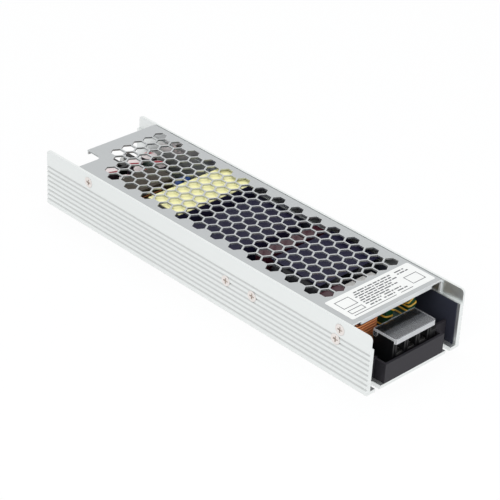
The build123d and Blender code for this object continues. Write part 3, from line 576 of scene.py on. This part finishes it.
def seen_white(tree):
    """One where the camera, a mirror or clear plastic shows the backdrop, and nought where it only
    lights the object."""
    path = add(tree, "ShaderNodeLightPath")
    seen = add(tree, "ShaderNodeMath",
               {0: path.outputs["Is Camera Ray"], 1: path.outputs["Is Glossy Ray"]},
               operation="MAXIMUM")
    seen = add(tree, "ShaderNodeMath",
               {0: seen.outputs[0], 1: path.outputs["Is Transmission Ray"]}, operation="MAXIMUM")
    return seen.outputs[0]


def paint(material, *nodes):
    """Gives CAD nodes their material."""
    for name in nodes:
        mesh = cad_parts[name].data
        mesh.materials.clear()
        mesh.materials.append(material)


# Operators, one for each piece or group of like pieces


class PSU_OT_metal(bpy.types.Operator):
    """Finishes the case, the cover and the metal fixings"""

    bl_idname = "psu.metal"
    bl_label = "Case and Metal"

    def execute(self, context):
        s = context.scene.psu_case
        paint(anodised_extrusion(tuple(s.wall)), "channel_case")
        paint(mill_finish_sheet(tuple(s.cover)), "top_cover")
        paint(nickel_plate("nickel_plated_screws", tuple(s.screw), 0.35),
              "cover_screws", "clamp_screws")
        paint(nickel_plate("tin_plated_steel", linear("#BFC0BE")),
              "clamp_nuts", "board_screws", "ac_clamp_plates", "dc_clamp_plates",
              "ac_terminal_screws", "dc_terminal_screws")
        return {"FINISHED"}


class PSU_OT_mouldings(bpy.types.Operator):
    """Finishes the tray, terminal blocks, clear cover and films"""

    bl_idname = "psu.mouldings"
    bl_label = "Mouldings and Films"

    def execute(self, context):
        s = context.scene.psu_plastic
        # glass fibres make both blacks slightly flecked, and the tray duller than the blocks
        paint(moulded_plastic("glass_filled_tray", tuple(s.tray), 0.6, gleam=0.25, fleck=0.75),
              "terminal_tray")
        paint(moulded_plastic("black_terminal_moulding", tuple(s.block), 0.4, gleam=0.3,
                              fleck=0.75),
              "ac_terminal_body", "dc_terminal_body", "toroid_base")
        paint(clear_polycarbonate(tuple(s.clear), s.frost_start), "ac_terminal_cover")
        # painted shade and light: the film over the parts is darker than the liner along the walls
        paint(insulating_film(tuple(s.film)), "upper_insulating_sheets")
        paint(insulating_film(tuple(s.liner)), "insulating_liner")
        # small unfilled mouldings, even and satin
        paint(moulded_plastic("white_nylon", linear("#DAD9D3"), 0.45), "board_spacers")
        paint(moulded_plastic("blue_trimmer_moulding", linear("#2B59B3"), 0.4), "trimmer_body")
        paint(moulded_plastic("white_trimmer_rotor", linear("#E4E2DA"), 0.4), "trimmer_rotor")
        return {"FINISHED"}


class PSU_OT_board_parts(bpy.types.Operator):
    """Finishes the circuit boards and the parts that stand on them"""

    bl_idname = "psu.board_parts"
    bl_label = "Board and Parts"

    def execute(self, context):
        s = context.scene.psu_plastic
        paint(circuit_laminate(linear("#24382F")), "main_board", "control_board", "daughter_board")
        paint(moulded_plastic("epoxy_package", linear("#222224"), 0.45),
              "bridge_rectifier", "power_transistors", "control_chips")
        # pressed and fired grains leave the cores dull, with a deeper relief
        paint(moulded_plastic("ferrite", linear("#2B2A30"), 0.6, 0.02, gleam=0.3),
              "transformer_core", "boost_choke_core", "line_choke_core")
        paint(moulded_plastic("varnished_core", linear("#453E35"), 0.5, 0.02, gleam=0.3),
              "output_choke_core")
        # wound tape has smooth waves 8 mm long
        paint(moulded_plastic("polyester_tape", tuple(s.tape), 0.35, 0.02, 8.0),
              "transformer_tape", "transformer_coil")
        # dipped coats, sleeves and small cases, from a wet gloss to a dull skin
        paint(moulded_plastic("maroon_dipped_film", linear("#48222D"), 0.3),
              "film_capacitors", "x_capacitor")
        paint(moulded_plastic("blue_ceramic_coat", linear("#1C4488"), 0.35), "disc_capacitors")
        paint(moulded_plastic("black_capacitor_sleeve", linear("#26262B"), 0.3), "bulk_capacitors")
        paint(electrolytic_can(linear("#F0E4E4"), linear("#41323C")), "output_capacitors")
        paint(moulded_plastic("cream_relay_case", linear("#E2E0DC"), 0.4), "inrush_relay")
        paint(moulded_plastic("fuse_ceramic", linear("#D6D2C8"), 0.35), "fuse")
        paint(moulded_plastic("black_thermistor_coat", linear("#27292C"), 0.5), "thermistor")
        paint(moulded_plastic("green_lamp", linear("#4CC062"), 0.15), "indicator_lamp")
        return {"FINISHED"}


class PSU_OT_line_choke(bpy.types.Operator):
    """Winds the copper wire of the line choke"""

    bl_idname = "psu.line_choke"
    bl_label = "Line Choke Winding"

    def execute(self, context):
        """Each layer is a helix round a rounded rectangle: at angle a its corner arc stands at
        (sx + r cos a, sy + r sin a), where sx and sy are the corner centre's coordinates with the
        signs of cos a and sin a, and z rises by the pitch each turn."""
        s = context.scene.psu_winding
        copper = enamelled_copper(tuple(s.copper))
        paint(copper, "line_choke_winding")
        paint(wound_copper(tuple(s.copper), s.pitch), "boost_choke_coil", "output_choke_coil")
        low, high = [np.array(c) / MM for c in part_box("line_choke_winding")]
        centre = (low + high) / 2
        middle = (high - low) / 2 - s.corner / MM
        wire, pitch = s.wire / MM, s.pitch / MM
        turns = (high[2] - low[2] - 2 * wire) / pitch
        a = np.linspace(0, 2 * math.pi * turns, int(turns * CHOKE_POINTS)) + CHOKE_START
        radial = np.stack([np.cos(a), np.sin(a), np.zeros_like(a)], 1)
        shapes = []
        for depth in WIRE_LAYERS:
            corner = s.corner / MM - wire - depth * wire
            path = centre + np.sign(radial) * middle + corner * radial
            path[:, 2] = low[2] + wire + a / (2 * math.pi) * pitch
            shapes.append(tube(path, radial, wire))
        piece = make_piece("line_choke_wire", shapes, copper, "case")
        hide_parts("line_choke_winding")
        return {"FINISHED"}


class PSU_OT_toroid(bpy.types.Operator):
    """Winds the yellow wire of the toroid and paints its core"""

    bl_idname = "psu.toroid"
    bl_label = "Toroid Winding"

    def execute(self, context):
        """Each turn is a rounded rectangle round the core's section: the superellipse
        x = a sgn(cos t) |cos t|^p, r = b sgn(sin t) |sin t|^p, set at its own angle round the
        core."""
        s = context.scene.psu_winding
        yellow = enamelled_wire("triple_insulated_wire", tuple(s.yellow))
        paint(yellow, "toroid_winding")
        paint(moulded_plastic("epoxy_coated_toroid", tuple(s.green), 0.35), "toroid_core")
        low, high = [np.array(c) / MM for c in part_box("toroid_core")]
        centre = (low + high) / 2
        outer = (high[2] - low[2]) / 2
        inner = outer * TOROID_HOLE / TOROID_RIM
        wire = s.toroid_wire / MM
        half_x = (high[0] - low[0]) / 2 + wire
        half_r = (outer - inner) / 2 + wire
        t = np.linspace(0, 2 * math.pi, LOOP_POINTS, endpoint=False)
        x = half_x * np.sign(np.cos(t)) * np.abs(np.cos(t)) ** LOOP_POWER
        r = (outer + inner) / 2 + half_r * np.sign(np.sin(t)) * np.abs(np.sin(t)) ** LOOP_POWER
        shapes = []
        for side in (-1, 1):
            for k in range(s.turns):
                a = side * (s.first_turn + s.turn_step * k)
                path = np.stack([x, -r * math.sin(a), r * math.cos(a)], 1) + centre
                shapes.append(tube(path, (0.0, math.cos(a), math.sin(a)), wire, closed=True))
        piece = make_piece("toroid_wire", shapes, yellow, "case")
        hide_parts("toroid_winding")
        return {"FINISHED"}


class PSU_OT_label(bpy.types.Operator):
    """Lays the empty fields and lines on the white label"""

    bl_idname = "psu.label"
    bl_label = "Label Fields"

    def execute(self, context):
        s = context.scene.psu_case
        paint(printed_film("white_label_film", tuple(s.label)), "rating_label")
        ink = printed_film("grey_label_ink", tuple(s.print_grey))
        low, high = [np.array(c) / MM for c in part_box("rating_label")]
        line, thick = s.ink_line / MM, s.dash_line / MM
        bars = [(near, near + line, start, end) for near, start, end in LABEL_LINES]
        # each row starts one dash further on in the list of lengths
        for first, (near, start, end) in enumerate(LABEL_ROWS):
            dash = first
            while end - start > DASH_GAP:
                stop = min(start + DASHES[dash % len(DASHES)], end)
                bars.append((near, near + thick, start, stop))
                start, dash = stop + DASH_GAP, dash + 1
        for near, far, start, end in LABEL_BOXES:
            bars += [(near, near + line, start, end), (far - line, far, start, end),
                     (near + line, far - line, start, start + line),
                     (near + line, far - line, end - line, end)]
        shapes = [bar(low, high, *edges) for edges in bars]
        make_piece("label_fields", shapes, ink, "case", smooth=False)
        return {"FINISHED"}


class PSU_OT_can_marks(bpy.types.Operator):
    """Paints the red polarity segments on the tops of the output capacitors"""

    bl_idname = "psu.can_marks"
    bl_label = "Capacitor Marks"

    def execute(self, context):
        s = context.scene.psu_case
        red = printed_film("red_can_ink", tuple(s.mark))
        radius = s.can_radius / MM - CAN_RIM
        low, high = [np.array(c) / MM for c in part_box("output_capacitors")]
        shapes = []
        for (across, along), turn in zip(CAN_PLACES, CAN_TURNS):
            centre = (low[0] + across, low[1] + along, high[2] + INK_LIFT)
            shapes.append(disc_part(centre, radius, turn - s.mark_half, turn + s.mark_half))
        make_piece("can_polarity_marks", shapes, red, "case")
        return {"FINISHED"}


class PSU_OT_studio(bpy.types.Operator):
    """Sets the floor, the soft lights and the camera"""

    bl_idname = "psu.studio"
    bl_label = "Studio"

    def floor(self, context):
        """A sheet of white paper under the case, bright to the camera and keeping the shadow."""
        paper, tree, shader = new_material(
            "white_paper_floor", {"Base Color": (0.95, 0.95, 0.95, 1), "Roughness": 0.9})
        share = add(tree, "ShaderNodeMath", {0: seen_white(tree), 1: FLOOR_WHITE},
                    operation="MULTIPLY")
        white = add(tree, "ShaderNodeEmission", {"Color": (1, 1, 1, 1), "Strength": 1.0})
        mix = add(tree, "ShaderNodeMixShader",
                  {0: share.outputs[0], 1: shader.outputs["BSDF"], 2: white.outputs[0]})
        tree.links.new(mix.outputs[0], node_of(tree, "OUTPUT_MATERIAL").inputs["Surface"])
        r, z = FLOOR_REACH, -FLOOR_DEPTH
        mesh = bpy.data.meshes.new("floor")
        mesh.from_pydata([(-r, -r, z), (r, -r, z), (r, r, z), (-r, r, z)], [], [(0, 1, 2, 3)])
        mesh.materials.append(paper)
        ground = bpy.data.objects.new("floor", mesh)
        context.scene.collection.objects.link(ground)

    def room(self, context):
        """A pale room that lights the case softly, and is plain white where it is seen."""
        world = bpy.data.worlds.new("white_room")
        world.use_nodes = True
        tree = world.node_tree
        tree.nodes.clear()
        glow = add(tree, "ShaderNodeBackground", {"Color": (0.93, 0.96, 1.0, 1), "Strength": 0.55})
        sheet = add(tree, "ShaderNodeBackground", {"Color": (1, 1, 1, 1), "Strength": 1.0})
        mix = add(tree, "ShaderNodeMixShader",
                  {0: seen_white(tree), 1: glow.outputs[0], 2: sheet.outputs[0]})
        add(tree, "ShaderNodeOutputWorld", {"Surface": mix.outputs[0]})
        context.scene.world = world

    def light(self, context, name, place, target, size, power):
        """A square softbox at a place, facing its target."""
        lamp = bpy.data.lights.new(name, "AREA")
        lamp.size = size
        lamp.energy = power
        holder = bpy.data.objects.new(name, lamp)
        context.scene.collection.objects.link(holder)
        back = (np.array(place) - np.array(target)).tolist()
        holder.matrix_world = Matrix.Translation(place) @ aim(back).to_4x4()
        # metals mirror the white room alone, so each keeps its written colour
        holder.visible_glossy = False

    def camera(self, context):
        """The photograph's camera. The vector back from what it sees is (sin a cos e,
        -cos a cos e, sin e) for azimuth a and elevation e, and it is rolled round that vector."""
        v = context.scene.psu_view
        lens = bpy.data.cameras.new("photo_camera")
        lens.sensor_width = SENSOR
        lens.lens = v.focal
        lens.clip_start = 0.01
        lens.clip_end = 20.0
        camera = bpy.data.objects.new("photo_camera", lens)
        context.scene.collection.objects.link(camera)
        back = (math.sin(v.azimuth) * math.cos(v.elevation),
                -math.cos(v.azimuth) * math.cos(v.elevation), math.sin(v.elevation))
        turn = aim(back) @ Matrix.Rotation(v.roll, 3, "Z")
        camera.matrix_world = Matrix.Translation(v.place) @ turn.to_4x4()
        context.scene.camera = camera

    def execute(self, context):
        self.floor(context)
        self.room(context)
        for lamp in LAMPS:
            self.light(context, *lamp)
        self.camera(context)
        context.scene.view_settings.view_transform = "Standard"
        return {"FINISHED"}


class PSU_PT_panel(bpy.types.Panel):
    """Lists the settings and the steps that dress the power supply"""

    bl_idname = "PSU_PT_panel"
    bl_label = "Slim Power Supply"
    bl_space_type = "VIEW_3D"
    bl_region_type = "UI"
    bl_category = "Power Supply"

    def draw(self, context):
        for group in SETTINGS:
            settings = getattr(context.scene, group)
            column = self.layout.column(align=True)
            for name in type(settings).__annotations__:
                column.prop(settings, name)
        for step in STEPS:
            self.layout.operator(step.bl_idname)


SETTINGS = {"psu_case": PSU_case_settings, "psu_plastic": PSU_plastic_settings,
            "psu_winding": PSU_winding_settings, "psu_view": PSU_view_settings}
STEPS = (PSU_OT_metal, PSU_OT_mouldings, PSU_OT_board_parts, PSU_OT_line_choke, PSU_OT_toroid,
         PSU_OT_label, PSU_OT_can_marks, PSU_OT_studio)


def register():
    """Adds the settings to the scene, and the steps and the panel to Blender."""
    for group in SETTINGS.values():
        bpy.utils.register_class(group)
    for name, group in SETTINGS.items():
        setattr(bpy.types.Scene, name, bpy.props.PointerProperty(type=group))
    for step in STEPS:
        bpy.utils.register_class(step)
    bpy.utils.register_class(PSU_PT_panel)


def unregister():
    """Takes away what register adds, the panel and the steps first."""
    bpy.utils.unregister_class(PSU_PT_panel)
    for step in reversed(STEPS):
        bpy.utils.unregister_class(step)
    for name, group in SETTINGS.items():
        delattr(bpy.types.Scene, name)
        bpy.utils.unregister_class(group)


def main():
    """Dresses the power supply step by step."""
    register()
    bpy.ops.psu.metal()
    bpy.ops.psu.mouldings()
    bpy.ops.psu.board_parts()
    bpy.ops.psu.line_choke()
    bpy.ops.psu.toroid()
    bpy.ops.psu.label()
    bpy.ops.psu.can_marks()
    bpy.ops.psu.studio()


if __name__ == "__main__":
    main()
